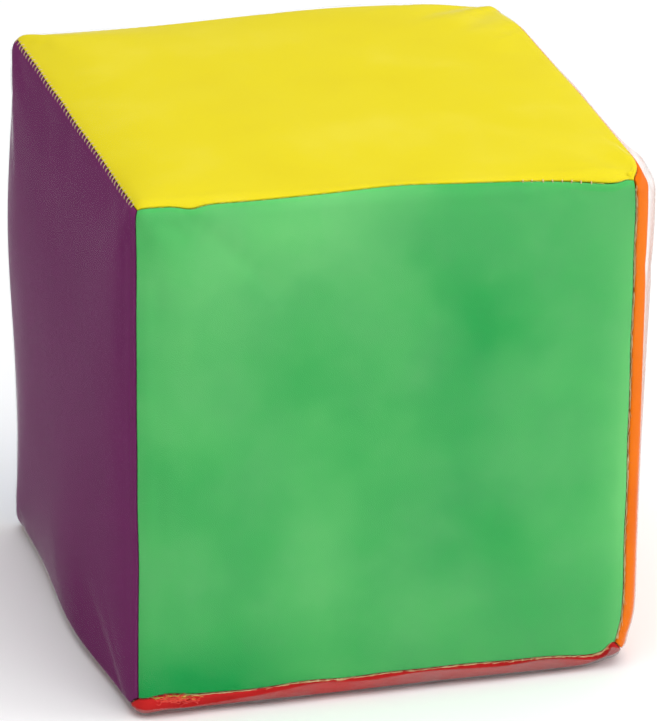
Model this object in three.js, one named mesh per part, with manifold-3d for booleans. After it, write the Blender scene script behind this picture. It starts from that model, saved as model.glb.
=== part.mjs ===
// A soft throwing cube for the lawn: a block of foam in a sewn cloth cover, with one coloured cloth panel on
// each face. Over each panel lies a clear vinyl window, sewn in on three edges and free on the fourth, which
// makes a flat pocket for a card.
// Millimetres, +Z up. The cube stands on its bottom window at z = 0, centred on the Z axis, and -Y is its front.

import * as THREE from "three";
import { ConvexGeometry } from "three/addons/geometries/ConvexGeometry.js";
import { mergeVertices } from "three/addons/utils/BufferGeometryUtils.js";
import Module from "manifold-3d";

// Driving dimensions
const SIDE = 152.4; // a 6 inch cube, measured over its windows
const VINYL = 0.4; // thickness of a window
const POCKET = 0.8; // room for a card between a window and its panel
const CLOTH = 0.8; // thickness of a panel
const SEAM_ALLOWANCE = 6; // width of cloth turned in behind a seam
const MOUTH_SETBACK = 2.5; // from a seam to the free edge of a window
const MOUTH_CORNER = 5; // radius of a window's two free corners
const SEAM_RECESS = 0.1; // a seam lies this far inside the windows' planes
const SEAM_CORNER = 1.5; // radius along the outside of a seam
const CLEARANCE = 0.3; // between pieces that touch on the real cube

// Worked out from those. Each is a distance from the middle of the cube.
const HALF = SIDE / 2;
const PANEL_OUTSIDE = HALF - VINYL - POCKET;
const PANEL_INSIDE = PANEL_OUTSIDE - CLOTH;
const SHEET_EDGE = PANEL_INSIDE - CLEARANCE;
const ALLOWANCE_END = PANEL_INSIDE - SEAM_ALLOWANCE / Math.SQRT2;
const FOAM_FACE = PANEL_INSIDE - CLEARANCE;

// The turned-in cloth runs along the plane halfway between two faces. These are measured across a face.
const MITRE_GAP = CLEARANCE / Math.SQRT2;
const MITRED_CLOTH = CLOTH * Math.SQRT2;

const CUT_THROUGH = 1; // how far a cutting solid passes the surface it opens
const ARC_STEPS = 6;

// mouth is the side of the face on which its window is free.
const FACES = [
  { name: "front", outward: [0, -1, 0], mouth: [0, 0, 1], colour: 0x52b669 },
  { name: "back", outward: [0, 1, 0], mouth: [0, 0, 1], colour: 0x2f62ad },
  { name: "left", outward: [-1, 0, 0], mouth: [0, 0, 1], colour: 0x6a365d },
  { name: "right", outward: [1, 0, 0], mouth: [0, 0, 1], colour: 0xf57d22 },
  { name: "top", outward: [0, 0, 1], mouth: [0, 1, 0], colour: 0xf0dd3b },
  { name: "bottom", outward: [0, 0, -1], mouth: [0, -1, 0], colour: 0xc82d2d },
];

const wasm = await Module();
wasm.setup();

const vinylMaterial = new THREE.MeshStandardMaterial({
  color: 0xf2f4f5,
  roughness: 0.15,
  metalness: 0,
  transparent: true,
  opacity: 0.25,
});
const foamMaterial = new THREE.MeshStandardMaterial({ color: 0xe9e0bd, roughness: 1, metalness: 0 });
const threadMaterial = new THREE.MeshStandardMaterial({ color: 0xcdb98a, roughness: 0.8, metalness: 0 });

function clothMaterial(colour) {
  return new THREE.MeshStandardMaterial({ color: colour, roughness: 0.9, metalness: 0 });
}

function toSolid(geometry) {
  const plain = geometry.clone();
  plain.deleteAttribute("normal");
  plain.deleteAttribute("uv");
  const merged = mergeVertices(plain);
  return new wasm.Manifold(
    new wasm.Mesh({
      numProp: 3,
      vertProperties: new Float32Array(merged.attributes.position.array),
      triVerts: new Uint32Array(merged.index.array),
    }),
  );
}

function toGeometry(solid) {
  const mesh = solid.getMesh();
  const geometry = new THREE.BufferGeometry();
  geometry.setAttribute("position", new THREE.BufferAttribute(new Float32Array(mesh.vertProperties), 3));
  geometry.setIndex(new THREE.BufferAttribute(new Uint32Array(mesh.triVerts), 1));
  geometry.computeVertexNormals();
  return geometry;
}

// A square block along Z whose half width goes from bottomHalf to topHalf.
function squareFrustum(bottomHalf, topHalf, bottom, top) {
  const corner = Math.SQRT2;
  return new THREE.CylinderGeometry(topHalf * corner, bottomHalf * corner, top - bottom, 4)
    .rotateY(Math.PI / 4)
    .rotateX(Math.PI / 2)
    .translate(0, 0, (top + bottom) / 2);
}

// The foam block. Its edges are cut back where the turned-in cloth of the seams presses into it.
function foamGeometry() {
  const allowanceCorner = 2 * ALLOWANCE_END - MITRE_GAP - MITRED_CLOTH;
  const cutSum = allowanceCorner - CLEARANCE * Math.SQRT2;
  const flat = cutSum - FOAM_FACE;
  const meeting = cutSum / 2;
  const signs = [-1, 1];
  const points = [];
  for (const x of signs) {
    for (const y of signs) {
      for (const z of signs) {
        points.push(new THREE.Vector3(x * FOAM_FACE, y * flat, z * flat));
        points.push(new THREE.Vector3(x * flat, y * FOAM_FACE, z * flat));
        points.push(new THREE.Vector3(x * flat, y * flat, z * FOAM_FACE));
        points.push(new THREE.Vector3(x * meeting, y * meeting, z * meeting));
      }
    }
  }
  return new ConvexGeometry(points);
}

// A cloth panel facing +Z: a flat sheet with its four edges turned in behind the seams.
function panelGeometry() {
  const outerHalf = (z) => z - MITRE_GAP;
  const innerHalf = (z) => z - MITRE_GAP - MITRED_CLOTH;
  const hollowStart = ALLOWANCE_END - CUT_THROUGH;
  const outside = squareFrustum(outerHalf(ALLOWANCE_END), outerHalf(PANEL_OUTSIDE), ALLOWANCE_END, PANEL_OUTSIDE);
  const trim = squareFrustum(SHEET_EDGE, SHEET_EDGE, hollowStart, PANEL_OUTSIDE + CUT_THROUGH);
  const hollow = squareFrustum(innerHalf(hollowStart), innerHalf(PANEL_INSIDE), hollowStart, PANEL_INSIDE);
  return toGeometry(toSolid(outside).intersect(toSolid(trim)).subtract(toSolid(hollow)));
}

// A window facing +Z, with its free edge and rounded corners towards +Y.
function windowGeometry() {
  const edge = SHEET_EDGE;
  const free = SHEET_EDGE + CLEARANCE - MOUTH_SETBACK;
  const centre = edge - MOUTH_CORNER;
  const rise = free - MOUTH_CORNER;
  const outline = new THREE.Shape();
  outline.moveTo(-edge, -edge);
  outline.lineTo(edge, -edge);
  outline.lineTo(edge, rise);
  outline.absarc(centre, rise, MOUTH_CORNER, 0, Math.PI / 2, false);
  outline.absarc(-centre, rise, MOUTH_CORNER, Math.PI / 2, Math.PI, false);
  outline.closePath();
  return new THREE.ExtrudeGeometry(outline, {
    depth: VINYL,
    bevelEnabled: false,
    curveSegments: ARC_STEPS,
  }).translate(0, 0, HALF - VINYL);
}

// A seam along Z. It fills the corner between two faces, which look along +X and +Y, and closes the pockets'
// sewn edges.
function seamGeometry(length) {
  const inside = PANEL_INSIDE;
  const outside = HALF - SEAM_RECESS;
  const centre = outside - SEAM_CORNER;
  const section = new THREE.Shape();
  section.moveTo(inside, inside);
  section.lineTo(outside, inside);
  section.lineTo(outside, centre);
  section.absarc(centre, centre, SEAM_CORNER, 0, Math.PI / 2, false);
  section.lineTo(inside, outside);
  section.closePath();
  return new THREE.ExtrudeGeometry(section, {
    depth: length,
    bevelEnabled: false,
    curveSegments: ARC_STEPS,
  }).translate(0, 0, -length / 2);
}

function namedMesh(name, geometry, material) {
  const mesh = new THREE.Mesh(geometry, material);
  mesh.name = name;
  return mesh;
}

// One face's panel and window, turned to look outward with the window's free edge on the mouth side.
function faceGroup(face, panel, window) {
  const outward = new THREE.Vector3(...face.outward);
  const mouth = new THREE.Vector3(...face.mouth);
  const across = new THREE.Vector3().crossVectors(mouth, outward);
  const group = new THREE.Group();
  group.setRotationFromMatrix(new THREE.Matrix4().makeBasis(across, mouth, outward));
  group.add(namedMesh(`${face.name}_panel`, panel, clothMaterial(face.colour)));
  group.add(namedMesh(`${face.name}_window`, window, vinylMaterial));
  return group;
}

// The stitched seam between two faces. The seams along X run past the corners, and the others stop at them.
function seamMesh(first, second) {
  const firstOut = new THREE.Vector3(...first.outward);
  const secondOut = new THREE.Vector3(...second.outward);
  const along = new THREE.Vector3().crossVectors(firstOut, secondOut);
  const halfLength = along.x === 0 ? SHEET_EDGE : HALF - SEAM_RECESS;
  const mesh = namedMesh(`${first.name}_${second.name}_seam`, seamGeometry(2 * halfLength), threadMaterial);
  mesh.setRotationFromMatrix(new THREE.Matrix4().makeBasis(firstOut, secondOut, along));
  return mesh;
}

function areNeighbours(first, second) {
  return new THREE.Vector3(...first.outward).dot(new THREE.Vector3(...second.outward)) === 0;
}

function buildCube() {
  const cube = new THREE.Group();
  cube.position.z = HALF;
  cube.add(namedMesh("foam_core", foamGeometry(), foamMaterial));
  const panel = panelGeometry();
  const window = windowGeometry();
  for (const face of FACES) cube.add(faceGroup(face, panel, window));
  FACES.forEach((first, index) => {
    for (const second of FACES.slice(index + 1)) {
      if (areNeighbours(first, second)) cube.add(seamMesh(first, second));
    }
  });
  return cube;
}

export default buildCube();
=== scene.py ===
"""The looks of the soft pocket cube: a foam block in a sewn cloth cover, with a clear window over each face.

The cover is one network of eight corners and twelve seams. Every cloth panel and every window is a patch
between its four seams, so neighbours meet along the same line. A cloth simulation of the whole cover gives
the fullness of the panels and the puckers beside the seams. Seam rolls and stitches are added to that.

Each face has its own directions: "up", or t, runs towards the free edge of its window, the mouth, and
"across", or s, runs to the right of that, seen from outside. Both are shares, from 0 to 1."""
import math
from collections import namedtuple

import bpy
import numpy as np
from mathutils import Matrix, Vector


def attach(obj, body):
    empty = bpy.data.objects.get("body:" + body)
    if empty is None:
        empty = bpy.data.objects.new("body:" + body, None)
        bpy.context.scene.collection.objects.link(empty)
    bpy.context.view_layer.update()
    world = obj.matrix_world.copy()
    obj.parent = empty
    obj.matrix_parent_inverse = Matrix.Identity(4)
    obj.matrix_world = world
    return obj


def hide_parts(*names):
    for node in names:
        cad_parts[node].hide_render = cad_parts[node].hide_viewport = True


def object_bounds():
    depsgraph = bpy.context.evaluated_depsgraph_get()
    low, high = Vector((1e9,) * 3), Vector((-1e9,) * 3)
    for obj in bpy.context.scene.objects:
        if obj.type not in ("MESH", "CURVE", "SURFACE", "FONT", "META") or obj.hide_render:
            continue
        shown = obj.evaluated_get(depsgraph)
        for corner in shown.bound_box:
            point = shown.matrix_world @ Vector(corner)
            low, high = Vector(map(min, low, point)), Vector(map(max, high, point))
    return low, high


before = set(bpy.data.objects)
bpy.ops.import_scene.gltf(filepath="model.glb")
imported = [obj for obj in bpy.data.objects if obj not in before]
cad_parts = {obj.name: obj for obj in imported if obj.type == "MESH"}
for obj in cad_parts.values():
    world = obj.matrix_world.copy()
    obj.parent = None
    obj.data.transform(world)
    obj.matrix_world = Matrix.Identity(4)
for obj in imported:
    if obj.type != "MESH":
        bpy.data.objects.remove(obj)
cad_low, cad_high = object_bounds()

MM = 0.001
SIDE = cad_high.z - cad_low.z
HALF = SIDE / 2
CENTRE = np.array([0.0, 0.0, HALF])

# Sheets and thread
CLOTH_THICK = 0.8 * MM
VINYL_THICK = 0.2 * MM
VINYL_GAP = 0.05 * MM  # between a window lying flat and its panel
THREAD_THICK = 0.42 * MM
STITCHES = 54  # along one edge of the cube
SEAM_ALLOWANCE = 6 * MM

# The cover, measured at the outside of the cloth
COVER_HALF = HALF - VINYL_THICK - VINYL_GAP
EDGE_RADIUS = 5.0 * MM
SEAM_ROLL = 0.7 * MM  # radius at which the cloth turns into a seam
CLOTH_TO_SEAM = 0.23 * MM  # from the middle plane of a seam to the cloth, where its window is sewn in with it
MOUTH_TO_SEAM = 0.03 * MM  # and where it is not
VINYL_TO_SEAM = 0.01 * MM
STITCH_DIP = 0.12 * MM
STITCH_DIP_REACH = 1.8 * MM
CROWN = 0.7 * MM
FLOOR_GAP = 0.05 * MM

# The orange and red panels come round onto the front by this much
FRONT_DRIFT_RIGHT = 4.9 * MM
FRONT_DRIFT_BOTTOM = 6.0 * MM
DRIFT_REACH = 7 * MM  # how soon a seam runs back to its own edge past such a corner

# Grids
COARSE = 44  # cells along a panel's side in the simulation
FINE = 3 * STITCHES  # cells along a panel's side in the finished cloth
WINDOW_CELLS = 110

FACES = {
    "front": {"outward": (0, -1, 0), "mouth": (0, 0, 1), "slot": "green_cloth"},
    "back": {"outward": (0, 1, 0), "mouth": (0, 0, 1), "slot": "blue_cloth"},
    "left": {"outward": (-1, 0, 0), "mouth": (0, 0, 1), "slot": "purple_cloth"},
    "right": {"outward": (1, 0, 0), "mouth": (0, 0, 1), "slot": "orange_cloth"},
    "top": {"outward": (0, 0, 1), "mouth": (0, 1, 0), "slot": "yellow_cloth"},
    "bottom": {"outward": (0, 0, -1), "mouth": (0, -1, 0), "slot": "red_cloth"},
}

# Seeds of the random details. The last four are the first of a row, one for each window, seam or fray.
SEEDS = {
    "foam": 3,
    "setback at the bottom": 5,
    "setback": 6,
    "cover": 7,
    "gape": 8,
    "crease": 21,
    "vinyl": 40,
    "seams": 100,
    "stitches": 500,
    "frays": 900,
}


# ---------------------------------------------------------------- camera

CAMERA_AZIMUTH = -15.28
CAMERA_ELEVATION = 21.15
CAMERA_ROLL = 0.19
CAMERA_DISTANCE = 15 * SIDE
PICTURE_HEIGHT = 721
SIDE_IN_PICTURE = 527.9  # how many of those lines a cube's side covers at the camera's distance
AIM_RIGHT = 0.0097 * SIDE
AIM_DOWN = 0.0208 * SIDE


def make_camera():
    """A camera far enough off for the cube's nearly parallel edges, aimed a little beside its middle."""
    azimuth = math.radians(CAMERA_AZIMUTH)
    elevation = math.radians(CAMERA_ELEVATION)
    flat = math.cos(elevation)
    back = Vector((math.sin(azimuth) * flat, -math.cos(azimuth) * flat, math.sin(elevation)))
    turn = (-back).to_track_quat("-Z", "Y").to_matrix()
    turn = turn @ Matrix.Rotation(math.radians(CAMERA_ROLL), 3, "Z")
    aim = Vector(CENTRE) + turn @ Vector((AIM_RIGHT, -AIM_DOWN, 0))
    data = bpy.data.cameras.new("camera")
    data.sensor_width = 36
    data.lens = data.sensor_width * SIDE_IN_PICTURE / PICTURE_HEIGHT * CAMERA_DISTANCE / SIDE
    data.clip_start = 0.1
    data.clip_end = 100
    camera = bpy.data.objects.new("camera", data)
    camera.matrix_world = Matrix.Translation(aim + back * CAMERA_DISTANCE) @ turn.to_4x4()
    bpy.context.scene.collection.objects.link(camera)
    bpy.context.scene.camera = camera


# ---------------------------------------------------------------- the seam network

def face_axes(name):
    """(across, mouth, outward) of a face, each a unit vector."""
    outward = np.array(FACES[name]["outward"], float)
    mouth = np.array(FACES[name]["mouth"], float)
    return np.cross(mouth, outward), mouth, outward


def ease(x):
    """1 at 0, falling smoothly to 0 some way past 1."""
    return np.exp(-(x ** 2))


def smooth_step(x):
    """0 up to 0, 1 from 1 on, and smooth between."""
    x = np.clip(x, 0, 1)
    return x * x * (3 - 2 * x)


# Each brings a mean of a few sines back to about -1 to 1
WAVE_GAIN = 1.6
HILL_GAIN = 1.8


def waves(values, wavelength, seed, count=5):
    """A smooth random line through values, about -1 to 1, with waves of about that length."""
    rng = np.random.default_rng(seed)
    total = np.zeros(np.shape(values))
    for _ in range(count):
        length = wavelength * rng.uniform(0.7, 1.6)
        total = total + np.sin(2 * math.pi * (values / length + rng.random()))
    return total / count * WAVE_GAIN


def hills(points, wavelength, seed, count=9):
    """A smooth random value at each 3-D point, about -1 to 1, with hills of about that size."""
    rng = np.random.default_rng(seed)
    total = np.zeros(points.shape[:-1])
    for _ in range(count):
        direction = rng.normal(size=3)
        direction /= np.linalg.norm(direction)
        length = wavelength * rng.uniform(0.8, 1.6)
        total = total + np.sin(2 * math.pi * (points @ direction / length + rng.random()))
    return total / count * HILL_GAIN


def seed_of(kind, first, second):
    """The seed for the seam between two faces."""
    names = list(FACES)
    return SEEDS[kind] + names.index(first) * 10 + names.index(second)


def seam_faces(a, b):
    """The names of the two faces that the seam between corners a and b joins."""
    def touches(name):
        outward = np.array(FACES[name]["outward"])
        return outward @ np.array(a) == 1 and outward @ np.array(b) == 1
    return [name for name in FACES if touches(name)]


def seam_drift(a, b):
    """How far a whole seam lies off the cube's edge."""
    joined = seam_faces(a, b)
    if "front" in joined and "right" in joined:
        return np.array([-FRONT_DRIFT_RIGHT, 0, 0])
    if "front" in joined and "bottom" in joined:
        return np.array([0, 0, FRONT_DRIFT_BOTTOM])
    return np.zeros(3)


def corner_drift(a):
    """How far the corner where three seams meet lies off the cube's corner."""
    total = np.zeros(3)
    for axis in range(3):
        b = list(a)
        b[axis] = -b[axis]
        total += seam_drift(a, tuple(b))
    return total


# Places where a seam wanders off its line: (seam, share along it, half width, how far onto the first face)
SEAM_DIPS = [
    ("front_top", 0.115, 4 * MM, 1.8 * MM),
    ("front_top", 0.52, 26 * MM, -2.7 * MM),
    ("front_top", 0.93, 14 * MM, 3.4 * MM),
    ("front_bottom", 0.05, 7 * MM, 1.3 * MM),
    ("front_bottom", 0.25, 10 * MM, -0.6 * MM),
    ("front_bottom", 0.36, 8 * MM, 0.4 * MM),
    ("front_bottom", 0.93, 12 * MM, -2.2 * MM),
]
SEAM_WANDER = 0.3 * MM
WANDER_LENGTH = 34 * MM
STRAIGHT_END = 14 * MM  # within this of a corner a seam comes back onto its line


def seam_line(a, b, share):
    """Points on the ideal cube's surface along the seam from corner a to corner b, relative to its middle."""
    if a > b:
        return seam_line(b, a, 1 - share)
    start, end = np.array(a) * COVER_HALF, np.array(b) * COVER_HALF
    length = 2 * COVER_HALF
    own = seam_drift(a, b)
    along = share[:, None]
    line = start + (end - start) * along + own
    line += (corner_drift(a) - own) * ease(along * length / DRIFT_REACH)
    line += (corner_drift(b) - own) * ease((1 - along) * length / DRIFT_REACH)
    first, second = seam_faces(a, b)
    fade = smooth_step(np.minimum(share, 1 - share) * length / STRAIGHT_END)
    off = SEAM_WANDER * waves(share * length, WANDER_LENGTH, seed_of("seams", first, second))
    for name, place, half_width, height in SEAM_DIPS:
        if name == f"{first}_{second}":
            off = off + height * ease((share - place) * length / half_width)
    off = off * fade
    outward_first = np.array(FACES[first]["outward"])
    outward_second = np.array(FACES[second]["outward"])
    line -= np.maximum(off, 0)[:, None] * outward_second
    line -= np.maximum(-off, 0)[:, None] * outward_first
    return line


def on_cube(points):
    """Points moved straight out or in from the middle onto the ideal cube."""
    return points * (COVER_HALF / np.abs(points).max(axis=-1, keepdims=True))


def rounded(points):
    """Points of the ideal cube moved onto the cube with rounded edges, and the outward direction at each."""
    inner = np.clip(points, -(COVER_HALF - EDGE_RADIUS), COVER_HALF - EDGE_RADIUS)
    out = points - inner
    out = out / np.linalg.norm(out, axis=-1, keepdims=True)
    return inner + EDGE_RADIUS * out, out


# How far each corner of the soft cube sits from a true cube's, as (right, back, up) in mm
CORNER_SHIFT = {
    (-1, -1, -1): (0.4, -1.0, 0.0),
    (1, -1, -1): (-3.2, 0.6, 0.0),
    (-1, 1, -1): (0.7, -0.7, 0.0),
    (1, 1, -1): (0.0, 0.0, 0.0),
    (-1, -1, 1): (0.5, 0.3, 1.8),
    (1, -1, 1): (-1.1, -0.1, -1.1),
    (-1, 1, 1): (1.5, 0.2, 2.5),
    (1, 1, 1): (-0.6, 0.5, 1.6),
}

# Edges that bow: (one corner, the other, share along from the first, half width, (right, back, up) in mm)
EDGE_BOWS = [
    ((-1, 1, -1), (-1, 1, 1), 0.63, 36 * MM, (-2.0, 0.6, 0.0)),
    ((-1, -1, -1), (-1, 1, -1), 0.42, 38 * MM, (-3.4, 0.0, 0.0)),
    ((-1, 1, 1), (1, 1, 1), 0.62, 30 * MM, (0.0, 0.0, 1.0)),
]
BOW_POWER = 3  # how soon a bow dies away from its edge

# Corners pushed in by themselves: (corner, how far the dent reaches, (right, back, up) in mm)
CORNER_DENTS = [
    ((1, -1, -1), 9 * MM, (-2.5, 0.5, 2.5)),
    ((1, -1, 1), 7 * MM, (-0.3, 0.0, -2.2)),
    ((1, 1, 1), 16 * MM, (-1.5, -0.5, -2.0)),
]

UNEVENNESS = 0.25 * MM
UNEVEN_LENGTH = 60 * MM


def softened(points):
    """The rounded cube's points with the uneven shape that a soft, used cube has."""
    unit = np.clip(points / COVER_HALF, -1, 1)
    moved = np.zeros(points.shape)
    for corner, shift in CORNER_SHIFT.items():
        share = np.prod((1 + unit * np.array(corner)) / 2, axis=-1, keepdims=True)
        moved += share * np.array(shift) * MM
    for start, end, place, half_width, shift in EDGE_BOWS:
        middle = (np.array(start) + np.array(end)) / 2
        along = (points @ (np.array(end) - middle) / COVER_HALF + 1) / 2
        bow = ease((along - place) * 2 * COVER_HALF / half_width)
        for axis in np.nonzero(middle)[0]:
            bow = bow * ((1 + unit[..., axis] * middle[axis]) / 2) ** BOW_POWER
        moved += bow[..., None] * np.array(shift) * MM
    for corner, reach, shift in CORNER_DENTS:
        distance = np.linalg.norm(points - np.array(corner) * (COVER_HALF - EDGE_RADIUS / 2), axis=-1)
        moved += ease(distance / reach)[..., None] * np.array(shift) * MM
    for axis in range(3):
        one, other = (k for k in range(3) if k != axis)
        moved[..., axis] += CROWN * (1 - unit[..., one] ** 2) * (1 - unit[..., other] ** 2) * unit[..., axis]
    out = points / np.linalg.norm(points, axis=-1, keepdims=True)
    moved += out * (UNEVENNESS * hills(points, UNEVEN_LENGTH, SEEDS["cover"]))[..., None]
    return points + moved


def smoothed(grid, across, up):
    """Values of a square grid at shares across and up, on a smooth curve through its points."""
    def blend(values, at, axis):
        cells = values.shape[axis] - 1
        place = np.clip(at, 0, 1) * cells
        low = np.clip(np.floor(place).astype(int), 0, cells - 1)
        t = (place - low).reshape([-1 if k == axis else 1 for k in range(values.ndim)])
        p0, p1, p2, p3 = (np.take(values, np.clip(low + k, 0, cells), axis) for k in (-1, 0, 1, 2))
        curve = 2 * p0 - 5 * p1 + 4 * p2 - p3 + t * (3 * (p1 - p2) + p3 - p0)
        return p1 + t / 2 * (p2 - p0 + t * curve)
    return blend(blend(grid, across, 0), up, 1)


SIMULATED = {}  # face name: how the simulation moved its coarse grid


def panel_corners(name):
    """The face's four corners, each (sign, sign, sign), at across -1 or 1 and up -1 or 1."""
    across, up, outward = face_axes(name)
    def corner(a, u):
        return tuple(int(round(x)) for x in across * a + up * u + outward)
    return corner(-1, -1), corner(1, -1), corner(-1, 1), corner(1, 1)


def cover(name, across, up):
    """(points, outward directions) of the cloth's outside, over a grid of shares between its four seams."""
    low_left, low_right, high_left, high_right = panel_corners(name)
    s, t = across[:, None, None], up[None, :, None]
    zero, one = np.zeros(1), np.ones(1)
    flat = (1 - t) * seam_line(low_left, low_right, across)[:, None]
    flat = flat + t * seam_line(high_left, high_right, across)[:, None]
    flat = flat + (1 - s) * seam_line(low_left, high_left, up)[None]
    flat = flat + s * seam_line(low_right, high_right, up)[None]
    flat = flat - (1 - s) * (1 - t) * seam_line(low_left, low_right, zero)
    flat = flat - s * (1 - t) * seam_line(low_left, low_right, one)
    flat = flat - (1 - s) * t * seam_line(high_left, high_right, zero)
    flat = flat - s * t * seam_line(high_left, high_right, one)
    points, out = rounded(on_cube(flat))
    points = softened(points) + CENTRE
    if name in SIMULATED:
        points = points + smoothed(SIMULATED[name], across, up)
    return points, out


# ---------------------------------------------------------------- meshes

def new_object(name, points, faces, material, smooth=True):
    """A mesh object in the scene, made of points and faces in metres."""
    mesh = bpy.data.meshes.new(name)
    mesh.from_pydata([tuple(p) for p in points], [], faces)
    mesh.materials.append(material)
    mesh.polygons.foreach_set("use_smooth", [smooth] * len(mesh.polygons))
    mesh.update()
    piece = bpy.data.objects.new(name, mesh)
    bpy.context.scene.collection.objects.link(piece)
    return piece


def grid_faces(columns, rows):
    """The four-sided faces of a grid whose points go up its first column, then up the next."""
    i, j = np.meshgrid(np.arange(columns - 1), np.arange(rows - 1), indexing="ij")
    a = (i * rows + j).ravel()
    return np.stack([a, a + rows, a + rows + 1, a + 1], axis=1).tolist()


def apply_modifiers(piece):
    evaluated = piece.evaluated_get(bpy.context.evaluated_depsgraph_get())
    mesh = bpy.data.meshes.new_from_object(evaluated)
    piece.modifiers.clear()
    piece.data = mesh


# ---------------------------------------------------------------- cloth simulation

SIM_FRAMES = 20
SIM_CAP = 1.6 * MM
SIM_PRESSURE = 3.0
SEAM_FULLNESS = 0.02  # how much longer the cloth is than its seam
FULLNESS_REACH = 16 * MM


def merged(points):
    """(which points to keep, where each point now is among them) once those in the same place are one."""
    _, keep, index = np.unique(np.round(points, 6), axis=0, return_index=True, return_inverse=True)
    return keep, index.reshape(-1)


def add_cloth(piece):
    """A Cloth modifier that inflates the piece, with its vertex group seams held."""
    cloth = piece.modifiers.new("cloth", "CLOTH")
    settings = cloth.settings
    settings.quality = 8
    settings.mass = 0.3
    settings.tension_stiffness = 20
    settings.compression_stiffness = 20
    settings.shear_stiffness = 8
    settings.bending_stiffness = 0.4
    settings.vertex_group_mass = "seams"
    settings.vertex_group_shrink = "fuller"
    settings.shrink_min = 0.0
    settings.shrink_max = -SEAM_FULLNESS
    settings.use_pressure = True
    settings.uniform_pressure_force = SIM_PRESSURE
    settings.effector_weights.gravity = 0
    cloth.collision_settings.use_collision = False
    cloth.point_cache.frame_start = 1
    cloth.point_cache.frame_end = SIM_FRAMES


def simulate_cover():
    """Inflates the whole cover a little with its seams held, and keeps how each panel moved."""
    share = np.linspace(0, 1, COARSE + 1)
    grids = {name: cover(name, share, share)[0] for name in FACES}
    stacked = np.concatenate([grids[name].reshape(-1, 3) for name in FACES])
    first, index = merged(stacked)
    size = (COARSE + 1) ** 2
    quads = []
    for k, name in enumerate(FACES):
        for quad in grid_faces(COARSE + 1, COARSE + 1):
            quads.append([int(index[k * size + v]) for v in quad])
    piece = new_object("cover_in_simulation", stacked[first], quads, None)
    near_end = np.minimum(share, 1 - share)
    edge = np.minimum(near_end[:, None], near_end[None])
    edge = np.tile(edge.reshape(-1), len(FACES)) * 2 * COVER_HALF
    seams = piece.vertex_groups.new(name="seams")
    fuller = piece.vertex_groups.new(name="fuller")
    for v, distance in {int(index[i]): edge[i] for i in range(len(edge))}.items():
        if distance < 1e-9:
            seams.add([v], 1.0, "REPLACE")
        fuller.add([v], float(ease(distance / FULLNESS_REACH)), "REPLACE")
    add_cloth(piece)
    for number in range(1, SIM_FRAMES + 1):
        bpy.context.scene.frame_set(number)
    apply_modifiers(piece)
    after = np.empty(len(piece.data.vertices) * 3)
    piece.data.vertices.foreach_get("co", after)
    moved = after.reshape(-1, 3) - stacked[first]
    distance = np.linalg.norm(moved, axis=1, keepdims=True)
    moved *= np.tanh(distance / SIM_CAP) * SIM_CAP / np.maximum(distance, 1e-9)
    for k, name in enumerate(FACES):
        SIMULATED[name] = moved[index[k * size:(k + 1) * size]].reshape(COARSE + 1, COARSE + 1, 3)
    bpy.context.scene.frame_set(1)
    bpy.data.objects.remove(piece)


# ---------------------------------------------------------------- cloth panels

ROLL_ANGLES = np.radians([0, 30, 50, 70])  # where the cloth's roll into a seam is sampled
ALLOWANCE_ROWS = np.array([0.8 * MM, 2.5 * MM, SEAM_ALLOWANCE])
LEAST_ROW = 0.2  # how close, in cells, an even row may come to a row of the roll
FLOOR_SOFTNESS = 0.6 * MM
SHARP_ANGLE = math.radians(60)


def graded(cells, start, end, roll):
    """Shares from 0 to 1 with extra ones where the sheet rolls into its seams. start and end are the lengths
    from a seam's plane to the sheet, and end is None where the sheet has a free edge."""
    length = 2 * COVER_HALF
    turn = roll * (1 - np.cos(ROLL_ANGLES))
    even = np.arange(1, cells) / cells
    low = (start + turn) / length
    even = even[even > low[-1] + LEAST_ROW / cells]
    if end is None:
        return np.concatenate([low, even, [1.0]])
    high = 1 - (end + turn[::-1]) / length
    even = even[even < high[0] - LEAST_ROW / cells]
    return np.concatenate([low, even, high])


def rolled(distance, roll):
    """How deep a sheet lies at this distance from where it enters its seam."""
    inside = np.clip(roll - distance, 0, roll)
    return roll - np.sqrt(np.maximum(roll ** 2 - inside ** 2, 0))


def stitch_dips(share, distance):
    """How far the stitches of a seam pull the cloth in, at a share along the seam and a distance from it."""
    pull = 0.5 - 0.5 * np.cos(2 * math.pi * STITCHES * share)
    return STITCH_DIP * pull * ease(distance / STITCH_DIP_REACH)


def seam_distances(s, t):
    """(distance, share along) for the four seams of a panel: low, high, left, right."""
    length = 2 * COVER_HALF
    return [(t * length, s), ((1 - t) * length, s), (s * length, t), ((1 - s) * length, t)]


def kept_off_floor(points, least):
    """The points with none under that height, pressed smoothly flat."""
    height = points[..., 2]
    raised = least + FLOOR_SOFTNESS * np.logaddexp(0, (height - least) / FLOOR_SOFTNESS)
    near = height < least + 6 * FLOOR_SOFTNESS
    points = points.copy()
    points[..., 2] = np.where(near, np.maximum(raised, least), height)
    return points


def ring(columns, rows):
    """Indices of a grid's outline, once round."""
    i, j = columns - 1, rows - 1
    low = [a * rows for a in range(columns)]
    right = [i * rows + b for b in range(1, rows)]
    high = [a * rows + j for a in range(i - 1, -1, -1)]
    left = list(range(j - 1, 0, -1))
    return low + right + high + left


def with_allowance(points, out, outline, closed):
    """Adds rows of turned-in sheet along an outline of the grid. Returns (all points, the new faces)."""
    points = points.reshape(-1, 3)
    out = out.reshape(-1, 3)
    rows, faces = [points], []
    previous, count = list(outline), len(points)
    for depth in ALLOWANCE_ROWS:
        rows.append(points[outline] - out[outline] * depth)
        new = list(range(count, count + len(outline)))
        count += len(outline)
        for k in range(len(outline) if closed else len(outline) - 1):
            m = (k + 1) % len(outline)
            faces.append([previous[m], previous[k], new[k], new[m]])
        previous = new
    return np.concatenate(rows), faces


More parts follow.
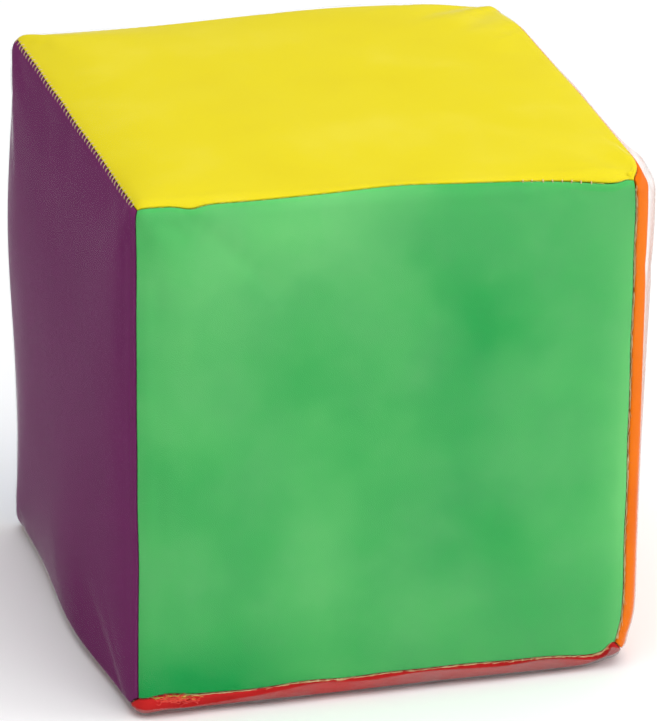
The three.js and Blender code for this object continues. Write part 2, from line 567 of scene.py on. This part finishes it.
def add_uv(piece, across, up, outline):
    """A UV map in metres of sheet, so that a weave has its real size."""
    length = 2 * COVER_HALF
    grid = np.stack(np.meshgrid(across * length, up * length, indexing="ij"), axis=-1).reshape(-1, 2)
    all_uv = np.concatenate([grid] + [grid[outline]] * len(ALLOWANCE_ROWS))
    corners = np.empty(len(piece.data.loops), int)
    piece.data.loops.foreach_get("vertex_index", corners)
    layer = piece.data.uv_layers.new(name="cloth")
    layer.data.foreach_set("uv", all_uv[corners].ravel())


def make_panel(name, material):
    """One cloth panel, with its edges rolled into their seams and turned in behind them."""
    across = graded(FINE, CLOTH_TO_SEAM, CLOTH_TO_SEAM, SEAM_ROLL)
    up = graded(FINE, CLOTH_TO_SEAM, MOUTH_TO_SEAM, SEAM_ROLL)
    points, out = cover(name, across, up)
    sides = seam_distances(across[:, None], up[None, :])
    offsets = (CLOTH_TO_SEAM, MOUTH_TO_SEAM, CLOTH_TO_SEAM, CLOTH_TO_SEAM)
    depth = np.zeros(points.shape[:2])
    for (distance, _), offset in zip(sides, offsets):
        depth = np.maximum(depth, rolled(distance - offset, SEAM_ROLL))
    for distance, along in sides:
        depth = depth + stitch_dips(along, distance)
    if name == "bottom":
        depth = depth + mouth_crease(across[:, None], (1 - up[None, :]) * 2 * COVER_HALF)
    points = points - out * depth[..., None]
    points = kept_off_floor(points, VINYL_THICK + VINYL_GAP + FLOOR_GAP)
    outline = ring(len(across), len(up))
    everything, extra = with_allowance(points, out, outline, True)
    piece = new_object(f"{name}_cloth", everything, grid_faces(len(across), len(up)) + extra, material)
    add_uv(piece, across, up, outline)
    make_solid(piece, CLOTH_THICK)
    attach(piece, "root")
    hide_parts(f"{name}_panel")


def make_solid(piece, thickness):
    """Gives a sheet its thickness, inwards."""
    solid = piece.modifiers.new("thickness", "SOLIDIFY")
    solid.thickness = thickness
    solid.offset = -1
    solid.use_even_offset = False
    apply_modifiers(piece)
    piece.data.set_sharp_from_angle(angle=SHARP_ANGLE)


# ---------------------------------------------------------------- clear windows

WINDOW_ROLL = SEAM_ROLL + VINYL_THICK + VINYL_GAP
MOUTH_CORNER = 4 * MM
VINYL_WAVE = 0.1 * MM
VINYL_WAVE_LENGTH = 38 * MM
CALM_REACH = 6 * MM  # within this of its seams a window has no waves
TENT_REACH = 3 * MM  # how soon a gaping window stands off, in from its side seams

# How far a free edge stops short of its seam
SETBACK = 2.5 * MM
RIGHT_SETBACK = 1.0 * MM
BOTTOM_SETBACK = 0.6 * MM
BOTTOM_SETBACK_MORE = 2.2 * MM  # extra at the left end, gone a third of the way along
SETBACK_WAVE = 0.15 * MM
BOTTOM_SETBACK_WAVE = 0.3 * MM

# The crease under the bottom window's free edge, and how far each free edge stands off
CREASE_DEPTH = 1.3 * MM
CREASE_REACH = 0.6 * MM
RIGHT_GAPE = 2.2 * MM
RIGHT_GAPE_REACH = 20 * MM  # how far back from the front edge the right window gapes
BOTTOM_GAPE = 0.6 * MM
USUAL_GAPE = 0.25 * MM


def mouth_setback(name, share):
    """How far a window's free edge stops short of its seam, along the edge."""
    if name == "bottom":
        more = BOTTOM_SETBACK_MORE * (1 - smooth_step((share - 0.08) / 0.25))
        return BOTTOM_SETBACK + more + BOTTOM_SETBACK_WAVE * waves(share, 0.2, SEEDS["setback at the bottom"])
    least = RIGHT_SETBACK if name == "right" else SETBACK
    return least + SETBACK_WAVE * waves(share, 0.3, SEEDS["setback"])


def mouth_crease(share, from_seam):
    """How deep the free edge of the bottom window creases the red cloth, coming and going along the edge."""
    strength = smooth_step((share - 0.03) / 0.1) * (0.6 + 0.4 * waves(share, 0.3, SEEDS["crease"]))
    return CREASE_DEPTH * strength * ease((from_seam - mouth_setback("bottom", share)) / CREASE_REACH)


def window_gape(name, s, t):
    """How far a window stands off its panel beyond lying flat."""
    length = 2 * COVER_HALF
    from_sides = 1 - np.exp(-np.minimum(s, 1 - s) * length / TENT_REACH)
    if name == "right":
        return RIGHT_GAPE * smooth_step((t - 0.35) / 0.6) * from_sides * ease(s * length / RIGHT_GAPE_REACH)
    if name == "bottom":
        along = 1.1 + waves(s, 0.22, SEEDS["gape"])
        return BOTTOM_GAPE * smooth_step((t - 0.95) / 0.05) * from_sides * along
    return USUAL_GAPE * smooth_step((t - 0.8) / 0.2) * from_sides


def make_window(name, material):
    """One clear window, sewn in on three sides, with rounded corners at its free edge."""
    length = 2 * COVER_HALF
    share = graded(WINDOW_CELLS, VINYL_TO_SEAM, VINYL_TO_SEAM, WINDOW_ROLL)
    rise = graded(WINDOW_CELLS, VINYL_TO_SEAM, None, WINDOW_ROLL)
    fine = np.linspace(0, 1, FINE + 1)
    dense, dense_out = cover(name, fine, fine)
    near_side = np.clip(MOUTH_CORNER - np.minimum(share, 1 - share) * length, 0, MOUTH_CORNER)
    dropped = MOUTH_CORNER - np.sqrt(np.maximum(MOUTH_CORNER ** 2 - near_side ** 2, 0))
    setback = mouth_setback(name, share)
    s = np.repeat(share[:, None], len(rise), axis=1)
    t = rise[None, :] * (1 - (setback + dropped) / length)[:, None]
    points = sampled(dense, s, t)
    out = sampled(dense_out, s, t)
    out /= np.linalg.norm(out, axis=-1, keepdims=True)
    lift = VINYL_GAP + VINYL_THICK + window_gape(name, s, t)
    in_from_seam = np.minimum(np.minimum(s, 1 - s), t) * length
    calm = 1 - ease(in_from_seam / CALM_REACH)
    seed = SEEDS["vinyl"] + list(FACES).index(name)
    lift = lift + VINYL_WAVE * calm * (1 + hills(points, VINYL_WAVE_LENGTH, seed))
    low, _, left, right = seam_distances(s, t)
    for distance, along in (low, left, right):
        lift = lift - rolled(distance - VINYL_TO_SEAM, WINDOW_ROLL)
        lift = lift - stitch_dips(along, distance)
    points = kept_off_floor(points + out * lift[..., None], FLOOR_GAP)
    columns, rows = len(share), len(rise)
    down_left = list(range(rows - 1, 0, -1))
    along_low = [a * rows for a in range(columns)]
    up_right = [(columns - 1) * rows + b for b in range(1, rows)]
    outline = down_left + along_low + up_right
    everything, extra = with_allowance(points, out, outline, False)
    piece = new_object(f"{name}_vinyl", everything, grid_faces(columns, rows) + extra, material)
    make_solid(piece, VINYL_THICK)
    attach(piece, "root")
    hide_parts(f"{name}_window")


def sampled(grid, s, t):
    """Values of a fine square grid at shares s and t, straight between its points."""
    cells = len(grid) - 1
    x, y = np.clip(s, 0, 1) * cells, np.clip(t, 0, 1) * cells
    i = np.clip(x.astype(int), 0, cells - 1)
    j = np.clip(y.astype(int), 0, cells - 1)
    a, b = (x - i)[..., None], (y - j)[..., None]
    low = grid[i, j] * (1 - a) + grid[i + 1, j] * a
    high = grid[i, j + 1] * (1 - a) + grid[i + 1, j + 1] * a
    return low * (1 - b) + high * b


# ---------------------------------------------------------------- stitches

THREAD_SIDES = 8
# One stitch over its seam, as (across, up) in mm
STITCH_PATH = [(-0.95, -1.1), (-0.85, -0.35), (-0.55, 0), (0, 0.08), (0.55, 0), (0.85, -0.35), (0.95, -1.1)]
STITCH_TURN = 0.12  # radians
STITCH_DEPTH_SPREAD = 0.04 * MM
STITCH_PLACE_SPREAD = 0.12 * MM
SUNK = 1.1 * MM  # how deep the thread lies in a seam that is drawn tight
# Where a seam is strained and its stitches show: (share from, share to, how deep they lie, how wide they are)
SHOWING = {"left_top": (0.0, 1.0, 0.12 * MM, 1.0), "front_top": (0.74, 0.88, 0.12 * MM, 0.5)}


def tube(path, radius, sides):
    """(points, faces) of a closed tube along a short path."""
    path = np.array(path)
    ahead = np.gradient(path, axis=0)
    ahead /= np.linalg.norm(ahead, axis=1, keepdims=True)
    off_axis = np.array([0.3, 0.5, 0.81])
    side = np.cross(ahead, off_axis)
    side /= np.linalg.norm(side, axis=1, keepdims=True)
    over = np.cross(ahead, side)
    angle = np.arange(sides) * 2 * math.pi / sides
    circle = np.cos(angle)[None, :, None] * side[:, None] + np.sin(angle)[None, :, None] * over[:, None]
    points = (path[:, None] + radius * circle).reshape(-1, 3)
    faces = []
    for k in range(len(path) - 1):
        for m in range(sides):
            n = (m + 1) % sides
            faces.append([k * sides + m, k * sides + n, (k + 1) * sides + n, (k + 1) * sides + m])
    faces.append(list(range(sides))[::-1])
    faces.append([(len(path) - 1) * sides + m for m in range(sides)])
    return points, faces


def joined(parts):
    """One list of points and faces out of many."""
    points, faces, count = [], [], 0
    for p, f in parts:
        points.append(p)
        faces += [[v + count for v in face] for face in f]
        count += len(p)
    return np.concatenate(points), faces


def seam_on_cover(a, b, share):
    """(points, outward directions, directions along) of a seam on the finished cover."""
    line, out = rounded(on_cube(seam_line(a, b, share)))
    line = softened(line) + CENTRE
    along = np.gradient(line, axis=0)
    along /= np.linalg.norm(along, axis=1, keepdims=True)
    out = out - (out * along).sum(axis=1, keepdims=True) * along
    out /= np.linalg.norm(out, axis=1, keepdims=True)
    return line, out, along


def make_stitches(a, b, material):
    """The row of stitches along one seam."""
    first, second = seam_faces(a, b)
    share = (np.arange(STITCHES) + 0.5) / STITCHES
    line, out, along = seam_on_cover(a, b, share)
    rng = np.random.default_rng(seed_of("stitches", first, second))
    low, high, shallow, width = SHOWING.get(f"{first}_{second}", (1.0, 0.0, SUNK, 1.0))
    parts = []
    for k in range(1, STITCHES - 1):
        across = np.cross(along[k], out[k])
        turn = rng.normal(0, STITCH_TURN)
        across = across * math.cos(turn) + along[k] * math.sin(turn)
        depth = shallow if low <= share[k] <= high else SUNK
        middle = line[k] - out[k] * (depth + rng.normal(0, STITCH_DEPTH_SPREAD))
        middle = middle + along[k] * rng.normal(0, STITCH_PLACE_SPREAD)
        path = [middle + (across * x * width + out[k] * z) * MM for x, z in STITCH_PATH]
        parts.append(tube(path, THREAD_THICK / 2, THREAD_SIDES))
    points, faces = joined(parts)
    points[:, 2] = np.maximum(points[:, 2], FLOOR_GAP)
    piece = new_object(f"{first}_{second}_stitches", points, faces, material)
    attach(piece, "root")
    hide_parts(f"{first}_{second}_seam")


# Loose fibres at the seams, from share low to share high of the seam from start to end. In mm: length,
# thickness, reach (how far they spread) and hang (how far they hang over the panel below).
Fray = namedtuple("Fray", "start end slot low high count length thickness reach hang")
FRAYS = {
    "front_bottom_fray": Fray((-1, -1, -1), (1, -1, -1), "thread", 0.10, 0.97, 260, 2.0, 0.08, 0.12, 0.0),
    "front_right_fray": Fray((1, -1, -1), (1, -1, 1), "thread", 0.03, 0.97, 300, 2.0, 0.08, 0.12, 0.0),
    "front_top_fray": Fray((-1, -1, 1), (1, -1, 1), "yellow_cloth", 0.03, 0.97, 70, 1.4, 0.07, 0.08, 0.0),
    "green_fray": Fray((-1, -1, -1), (1, -1, -1), "green_cloth", 0.05, 0.12, 36, 2.4, 0.11, 0.4, 0.7),
    "red_fray": Fray((-1, -1, -1), (1, -1, -1), "red_cloth", 0.05, 0.12, 80, 2.2, 0.2, 0.7, 1.3),
}
FIBRE_POINTS = 6
FIBRE_SIDES = 5


def make_fray(name, material):
    """Short curling fibres lying along part of a seam."""
    fray = FRAYS[name]
    rng = np.random.default_rng(SEEDS["frays"] + list(FRAYS).index(name))
    share = np.linspace(0, 1, 400)
    line, out, along = seam_on_cover(fray.start, fray.end, share)
    steps = np.linspace(0, 1, FIBRE_POINTS)[:, None]
    parts = []
    for _ in range(fray.count):
        k = int(rng.uniform(fray.low, fray.high) * (len(share) - 1))
        across = np.cross(along[k], out[k])
        across = across if across[2] > 0 else -across
        root = line[k] + MM * (across * (rng.normal(0, fray.reach * 0.5) - fray.hang) - out[k] * 0.2)
        heading = along[k] * rng.choice((-1, 1)) + across * rng.normal(0, 0.05 + 0.6 * fray.reach)
        heading /= np.linalg.norm(heading)
        curl = across * rng.normal(0, 0.5) + out[k] * rng.uniform(0.2, 1.0)
        turns = math.pi * rng.uniform(0.8, 1.4)
        own = fray.length * rng.uniform(0.6, 1.3)
        path = root + MM * (heading * own * steps + curl * fray.reach * np.sin(steps * turns))
        parts.append(tube(path, fray.thickness / 2 * MM, FIBRE_SIDES))
    points, faces = joined(parts)
    points[:, 2] = np.maximum(points[:, 2], FLOOR_GAP)
    piece = new_object(name, points, faces, material)
    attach(piece, "root")


def all_seams():
    """Each seam once, as its two corners."""
    signs = (-1, 1)
    corners = [(x, y, z) for x in signs for y in signs for z in signs]
    return [(a, b) for a in corners for b in corners if a < b and sum(p != q for p, q in zip(a, b)) == 1]


# ---------------------------------------------------------------- foam

FOAM_FACE_GAP = 0.7 * MM
FOAM_EDGE_CUT = 11 * MM
FOAM_CELLS = 60
FOAM_SHARPNESS = 36
FOAM_UNEVENNESS = 0.0015  # as a share of its size
FOAM_HILLS = 45 * MM


def make_foam(material):
    """The foam block, rounded: six faces, and twelve edges pressed in by the turned-in cloth."""
    face = COVER_HALF - CLOTH_THICK - FOAM_FACE_GAP - STITCH_DIP
    edge = (2 * face - FOAM_EDGE_CUT) / math.sqrt(2)
    directions = [(np.array(FACES[n]["outward"], float), face) for n in FACES]
    for a, b in all_seams():
        middle = (np.array(a) + np.array(b)) / 2
        directions.append((middle / np.linalg.norm(middle), edge))
    share = np.linspace(-1, 1, FOAM_CELLS + 1)
    points, faces = [], []
    for k, name in enumerate(FACES):
        across, up, outward = face_axes(name)
        grid = share[:, None, None] * across + share[None, :, None] * up + outward
        grid = grid / np.linalg.norm(grid, axis=-1, keepdims=True)
        total = sum(np.maximum(grid @ n / d, 0) ** FOAM_SHARPNESS for n, d in directions)
        points.append((grid * total[..., None] ** (-1 / FOAM_SHARPNESS)).reshape(-1, 3))
        start = k * (FOAM_CELLS + 1) ** 2
        faces += [[start + v for v in quad] for quad in grid_faces(FOAM_CELLS + 1, FOAM_CELLS + 1)]
    points = np.concatenate(points)
    keep, index = merged(points)
    points = points[keep]
    smaller = 1 - FOAM_UNEVENNESS * (1 + hills(points, FOAM_HILLS, SEEDS["foam"]))
    points = softened(points * smaller[:, None])
    piece = new_object("foam_block", points + CENTRE, [[int(index[v]) for v in f] for f in faces], material)
    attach(piece, "root")
    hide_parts("foam_core")


# ---------------------------------------------------------------- materials

class Nodes:
    """A short way to build a material's node tree."""

    def __init__(self, name):
        self.material = bpy.data.materials.new(name)
        self.material.use_nodes = True
        self.tree = self.material.node_tree
        self.tree.nodes.clear()
        self.output = self.add("ShaderNodeOutputMaterial")

    def add(self, kind, inputs=None, **settings):
        node = self.tree.nodes.new(kind)
        for key, value in settings.items():
            setattr(node, key, value)
        for key, value in (inputs or {}).items():
            if isinstance(value, bpy.types.NodeSocket):
                self.tree.links.new(value, node.inputs[key])
            else:
                node.inputs[key].default_value = value
        return node

    def math(self, operation, one, two=0.0, clamp=False):
        return self.add("ShaderNodeMath", {0: one, 1: two}, operation=operation, use_clamp=clamp).outputs[0]

    def noise(self, vector, scale, detail=3.0, roughness=0.5):
        inputs = {"Vector": vector, "Scale": scale, "Detail": detail, "Roughness": roughness}
        return self.add("ShaderNodeTexNoise", inputs).outputs["Fac"]

    def ramp(self, value, low, high, to_low=0.0, to_high=1.0):
        inputs = {"Value": value, "From Min": low, "From Max": high, "To Min": to_low, "To Max": to_high}
        return self.add("ShaderNodeMapRange", inputs, interpolation_type="SMOOTHSTEP").outputs["Result"]

    def mix(self, share, one, two):
        return self.add("ShaderNodeMix", {0: share, 6: one, 7: two}, data_type="RGBA").outputs[2]

    def finish(self, shader):
        self.tree.links.new(shader, self.output.inputs["Surface"])
        return self.material


def colour(red, green, blue):
    """A colour given as it shows on a screen, 0 to 255, as Blender's linear values."""
    def linear(value):
        value /= 255
        return value / 12.92 if value <= 0.04045 else ((value + 0.055) / 1.055) ** 2.4
    return (linear(red), linear(green), linear(blue), 1.0)


WEAVE_PITCH = 0.5 * MM
# How many of each there are in a metre of cloth
CLOUDS = 26.0
NAP = 900.0
FUZZ = 3600.0

# Painted light on the front panel, pale patches of painted reflection and darker ones of painted shade:
# (across, up, half width, half height, how much paler), the first four as shares of the side
FRONT_PAINTED_LIGHT = [
    (0.33, 0.98, 0.28, 0.22, 0.45),
    (0.12, 0.80, 0.22, 0.35, 0.22),
    (1.00, 0.40, 0.15, 0.60, 0.55),
    (0.34, 0.25, 0.14, 0.30, 0.18),
    (0.66, 0.55, 0.18, 0.55, -0.22),
    (0.10, -0.02, 0.32, 0.24, -0.50),
]
EVEN_PALENESS = 0.42  # how far towards the paler shade the cloth is away from the painted patches


def painted_light_share(n, across, up, painted_light):
    """A node socket with the cloth's paleness, 0 to 1, from patches of painted reflection and painted shade.
    """
    total = EVEN_PALENESS
    for place_across, place_up, half_width, half_height, amount in painted_light:
        x = n.math("DIVIDE", n.math("SUBTRACT", across, place_across * SIDE), half_width * SIDE)
        y = n.math("DIVIDE", n.math("SUBTRACT", up, place_up * SIDE), half_height * SIDE)
        distance = n.math("SQRT", n.math("ADD", n.math("MULTIPLY", x, x), n.math("MULTIPLY", y, y)))
        total = n.math("ADD", total, n.ramp(distance, 1.0, 0.0, 0.0, amount))
    return total


def cloth_material(name, base, dark, pale, seed, mottle, painted_light):
    """Brushed cloth: a fine weave under a short nap, with soft cloudy changes of shade.
    Where patches are given, they paint reflection and shade onto its colour.
    """
    n = Nodes(name)
    uv = n.add("ShaderNodeUVMap", uv_map="cloth").outputs["UV"]
    place = n.add("ShaderNodeTexCoord").outputs["Object"]
    moved = n.add("ShaderNodeVectorMath", {0: place, 1: (seed * 0.37, seed * 0.11, seed * 0.23)}).outputs[0]
    clouds = n.noise(moved, CLOUDS, 5.0, 0.6)
    nap = n.noise(moved, NAP, 2.0, 0.6)
    fuzz = n.noise(moved, FUZZ, 2.0, 0.5)
    split = n.add("ShaderNodeSeparateXYZ", {0: uv})
    across, up = split.outputs["X"], split.outputs["Y"]
    turn = 2 * math.pi / WEAVE_PITCH
    warp = n.math("SINE", n.math("MULTIPLY", across, turn))
    weft = n.math("SINE", n.math("MULTIPLY", up, turn))
    weave = n.math("MULTIPLY", warp, weft)
    # the patches paint the window's reflection and shade straight into the cloth's colour
    if painted_light:
        painted_share = painted_light_share(n, across, up, painted_light)
        paleness = n.math("ADD", painted_share, n.ramp(clouds, 0.3, 0.7, -mottle, mottle), clamp=True)
        shade = n.mix(paleness, dark, pale)
    else:
        shade = n.mix(n.ramp(clouds, 0.3, 0.5, mottle, 0.0), base, dark)
        shade = n.mix(n.ramp(clouds, 0.5, 0.7, 0.0, mottle), shade, pale)
    shade = n.mix(n.ramp(nap, 0.3, 0.7, 0.0, 0.07), shade, dark)
    shade = n.mix(n.ramp(weave, -1.0, 1.0, 0.0, 0.06), shade, dark)
    height = n.math("ADD", n.math("MULTIPLY", weave, 0.35), n.math("MULTIPLY", fuzz, 0.9))
    height = n.math("ADD", height, n.math("MULTIPLY", nap, 0.8))
    bump = n.add("ShaderNodeBump", {"Height": height, "Strength": 0.15, "Distance": 0.08 * MM})
    inputs = {
        "Base Color": shade,
        "Roughness": 0.92,
        "Normal": bump.outputs[0],
        "Sheen Weight": 0.12,
        "Sheen Roughness": 0.45,
        "Sheen Tint": pale,
        "Specular IOR Level": 0.15,
    }
    shader = n.add("ShaderNodeBsdfPrincipled", inputs)
    return n.finish(shader.outputs[0])


def vinyl_material(name, haze, spread, shade):
    """Clear vinyl: what is behind it shows, under a gloss that grows edge-on, a haze and small scuffs.
    The lower spread is, the further from edge-on the gloss begins. shade is how pale the haze is, and a dark
    haze is painted shade."""
    n = Nodes(name)
    place = n.add("ShaderNodeTexCoord").outputs["Object"]
    cloudy = n.ramp(n.noise(place, 30.0, 4.0, 0.6), 0.30, 0.75, 0.4 * haze, 1.6 * haze)
    scuffs = n.ramp(n.noise(place, 420.0, 5.0, 0.7), 0.62, 0.74, 0.0, 0.004 + 0.3 * haze)
    ripple = n.noise(place, 45.0, 2.0, 0.5)
    bump = n.add("ShaderNodeBump", {"Height": ripple, "Strength": 0.2, "Distance": 1.0 * MM})
    edge_on = n.add("ShaderNodeLayerWeight", {"Blend": 0.5, "Normal": bump.outputs[0]}).outputs["Facing"]
    gloss = n.math("MULTIPLY", n.math("POWER", edge_on, spread), 0.9)
    share = n.math("ADD", gloss, n.math("ADD", cloudy, scuffs), clamp=True)
    clear = n.add("ShaderNodeBsdfTransparent", {"Color": (0.985, 0.99, 0.99, 1)}).outputs[0]
    inputs = {"Base Color": (shade, shade, shade, 1), "Roughness": 0.18, "Normal": bump.outputs[0]}
    skin = n.add("ShaderNodeBsdfPrincipled", inputs).outputs[0]
    both = n.add("ShaderNodeMixShader", {0: share, 1: clear, 2: skin}).outputs[0]
    return n.finish(both)


def thread_material():
    """Twisted polyester thread."""
    n = Nodes("thread")
    place = n.add("ShaderNodeTexCoord").outputs["Object"]
    twist = n.add("ShaderNodeTexWave", {"Vector": place, "Scale": 1400.0, "Distortion": 1.5},
                  wave_type="BANDS", bands_direction="DIAGONAL").outputs["Fac"]
    shade = n.mix(n.noise(place, 260.0, 2.0), colour(186, 156, 106), colour(220, 198, 152))
    shade = n.mix(n.ramp(twist, 0.2, 0.8, 0.0, 0.3), shade, colour(150, 125, 85))
    bump = n.add("ShaderNodeBump", {"Height": twist, "Strength": 0.5, "Distance": 0.05 * MM})
    inputs = {"Base Color": shade, "Roughness": 0.6, "Normal": bump.outputs[0], "Sheen Weight": 0.2}
    return n.finish(n.add("ShaderNodeBsdfPrincipled", inputs).outputs[0])


def fibre_material(name, base, tip):
    """Loose fibres, each a little different."""
    n = Nodes(name)
    place = n.add("ShaderNodeTexCoord").outputs["Object"]
    shade = n.mix(n.ramp(n.noise(place, 500.0, 3.0), 0.35, 0.65), base, tip)
    inputs = {"Base Color": shade, "Roughness": 0.8, "Sheen Weight": 0.15}
    return n.finish(n.add("ShaderNodeBsdfPrincipled", inputs).outputs[0])


def foam_material():
    """Open-cell foam: cream, matt and full of small cells."""
    n = Nodes("foam")
    place = n.add("ShaderNodeTexCoord").outputs["Object"]
    cells = n.add("ShaderNodeTexVoronoi", {"Vector": place, "Scale": 1100.0}).outputs["Distance"]
    shade = n.mix(n.noise(place, 30.0, 3.0), colour(228, 214, 170), colour(240, 230, 196))
    # the hollows of the cells, where the bump sinks, are painted darker: painted shade
    shade = n.mix(n.ramp(cells, 0.0, 0.5, 0.5, 0.0), shade, colour(178, 160, 116))
    bump = n.add("ShaderNodeBump", {"Height": cells, "Strength": 0.6, "Distance": 0.4 * MM})
    inputs = {"Base Color": shade, "Roughness": 1.0, "Normal": bump.outputs[0], "Specular IOR Level": 0.1}
    return n.finish(n.add("ShaderNodeBsdfPrincipled", inputs).outputs[0])


def floor_material():
    """A plain pale floor."""
    n = Nodes("floor")
    place = n.add("ShaderNodeTexCoord").outputs["Object"]
    shade = n.mix(n.noise(place, 3.0, 3.0), (0.90, 0.90, 0.90, 1), (0.92, 0.92, 0.92, 1))
    inputs = {"Base Color": shade, "Roughness": 0.9, "Specular IOR Level": 0.1}
    return n.finish(n.add("ShaderNodeBsdfPrincipled", inputs).outputs[0])


# The plain shade of each cloth, its deeper and its paler one, and how far its clouds go towards them.
# The front's own shade runs between its last two instead, by its painted reflection and painted shade.
CLOTH_COLOURS = {
    "front": (colour(60, 170, 88), colour(2, 144, 64), colour(106, 194, 110), 0.12),
    "back": (colour(47, 98, 173), colour(34, 76, 148), colour(80, 126, 192), 0.25),
    "left": (colour(107, 35, 89), colour(99, 31, 83), colour(113, 41, 95), 0.4),
    "right": (colour(222, 108, 2), colour(204, 84, 2), colour(228, 120, 18), 0.4),
    "top": (colour(214, 196, 24), colour(206, 184, 18), colour(222, 206, 72), 0.25),
    # the bottom's deep red clouds are partly uneven tone, partly painted shade for the crease under its
    # window
    "bottom": (colour(192, 34, 34), colour(134, 18, 20), colour(204, 50, 46), 0.6),
}

# For each window its haze, how its gloss spreads and how pale its haze is. The bottom one is most scuffed,
# and its heavy, dark haze is painted shade where it turns under the cube.
USUAL_WINDOW = (0.014, 12.0, 0.66)
WINDOW_LOOKS = {
    "bottom": (0.14, 8.0, 0.36),
    "right": (0.006, 7.0, 0.66),
    "left": (0.002, 18.0, 0.66),
    "top": (0.003, 18.0, 0.66),
}


# ---------------------------------------------------------------- studio

FLOOR_HALF = 30.0  # large enough for its far edge to stay out of sight in a low view
# (name, place and size in metres, power in watts)
LIGHTS = [
    ("overhead", (0.15, -0.2, 1.5), 1.6, 18),
    ("front", (0.5, -1.9, 0.9), 1.5, 14),
    ("right", (1.8, -0.6, 0.8), 1.2, 11),
]
WORLD_STRENGTH = 0.55


def make_floor():
    far = FLOOR_HALF
    corners = [(-far, -far, 0), (far, -far, 0), (far, far, 0), (-far, far, 0)]
    floor = new_object("floor", corners, [[0, 1, 2, 3]], floor_material(), smooth=False)


def make_light(name, place, size, power):
    """A square soft light that points at the middle of the cube."""
    data = bpy.data.lights.new(name, "AREA")
    data.shape = "SQUARE"
    data.size = size
    data.energy = power
    lamp = bpy.data.objects.new(name, data)
    lamp.location = place
    lamp.rotation_euler = (Vector(CENTRE) - Vector(place)).to_track_quat("-Z", "Y").to_euler()
    bpy.context.scene.collection.objects.link(lamp)


def make_studio():
    """The floor, the lights and a plain world a little dimmer than the floor."""
    make_floor()
    for name, place, size, power in LIGHTS:
        make_light(name, place, size, power)
    world = bpy.data.worlds.new("studio")
    world.use_nodes = True
    background = world.node_tree.nodes["Background"]
    background.inputs["Color"].default_value = (1, 1, 1, 1)
    background.inputs["Strength"].default_value = WORLD_STRENGTH
    bpy.context.scene.world = world
    bpy.context.scene.view_settings.view_transform = "Standard"


# ---------------------------------------------------------------- the whole cube

def build():
    make_camera()
    simulate_cover()
    make_foam(foam_material())
    for index, name in enumerate(FACES):
        base, dark, pale, mottle = CLOTH_COLOURS[name]
        # only the front has painted reflection and painted shade in its cloth
        painted_light = FRONT_PAINTED_LIGHT if name == "front" else []
        make_panel(name, cloth_material(FACES[name]["slot"], base, dark, pale, index + 1, mottle, painted_light))
        make_window(name, vinyl_material(f"{name}_clear_vinyl", *WINDOW_LOOKS.get(name, USUAL_WINDOW)))
    thread = thread_material()
    for a, b in all_seams():
        make_stitches(a, b, thread)
    fibres = {
        "thread": fibre_material("tan_fibres", colour(206, 170, 116), colour(226, 200, 150)),
        "yellow_cloth": fibre_material("yellow_fibres", colour(214, 196, 60), colour(232, 220, 120)),
        "green_cloth": fibre_material("green_fibres", colour(110, 170, 60), colour(226, 210, 84)),
        "red_cloth": fibre_material("red_fibres", colour(206, 36, 30), colour(232, 72, 52)),
    }
    for name in FRAYS:
        make_fray(name, fibres[FRAYS[name].slot])
    make_studio()


build()
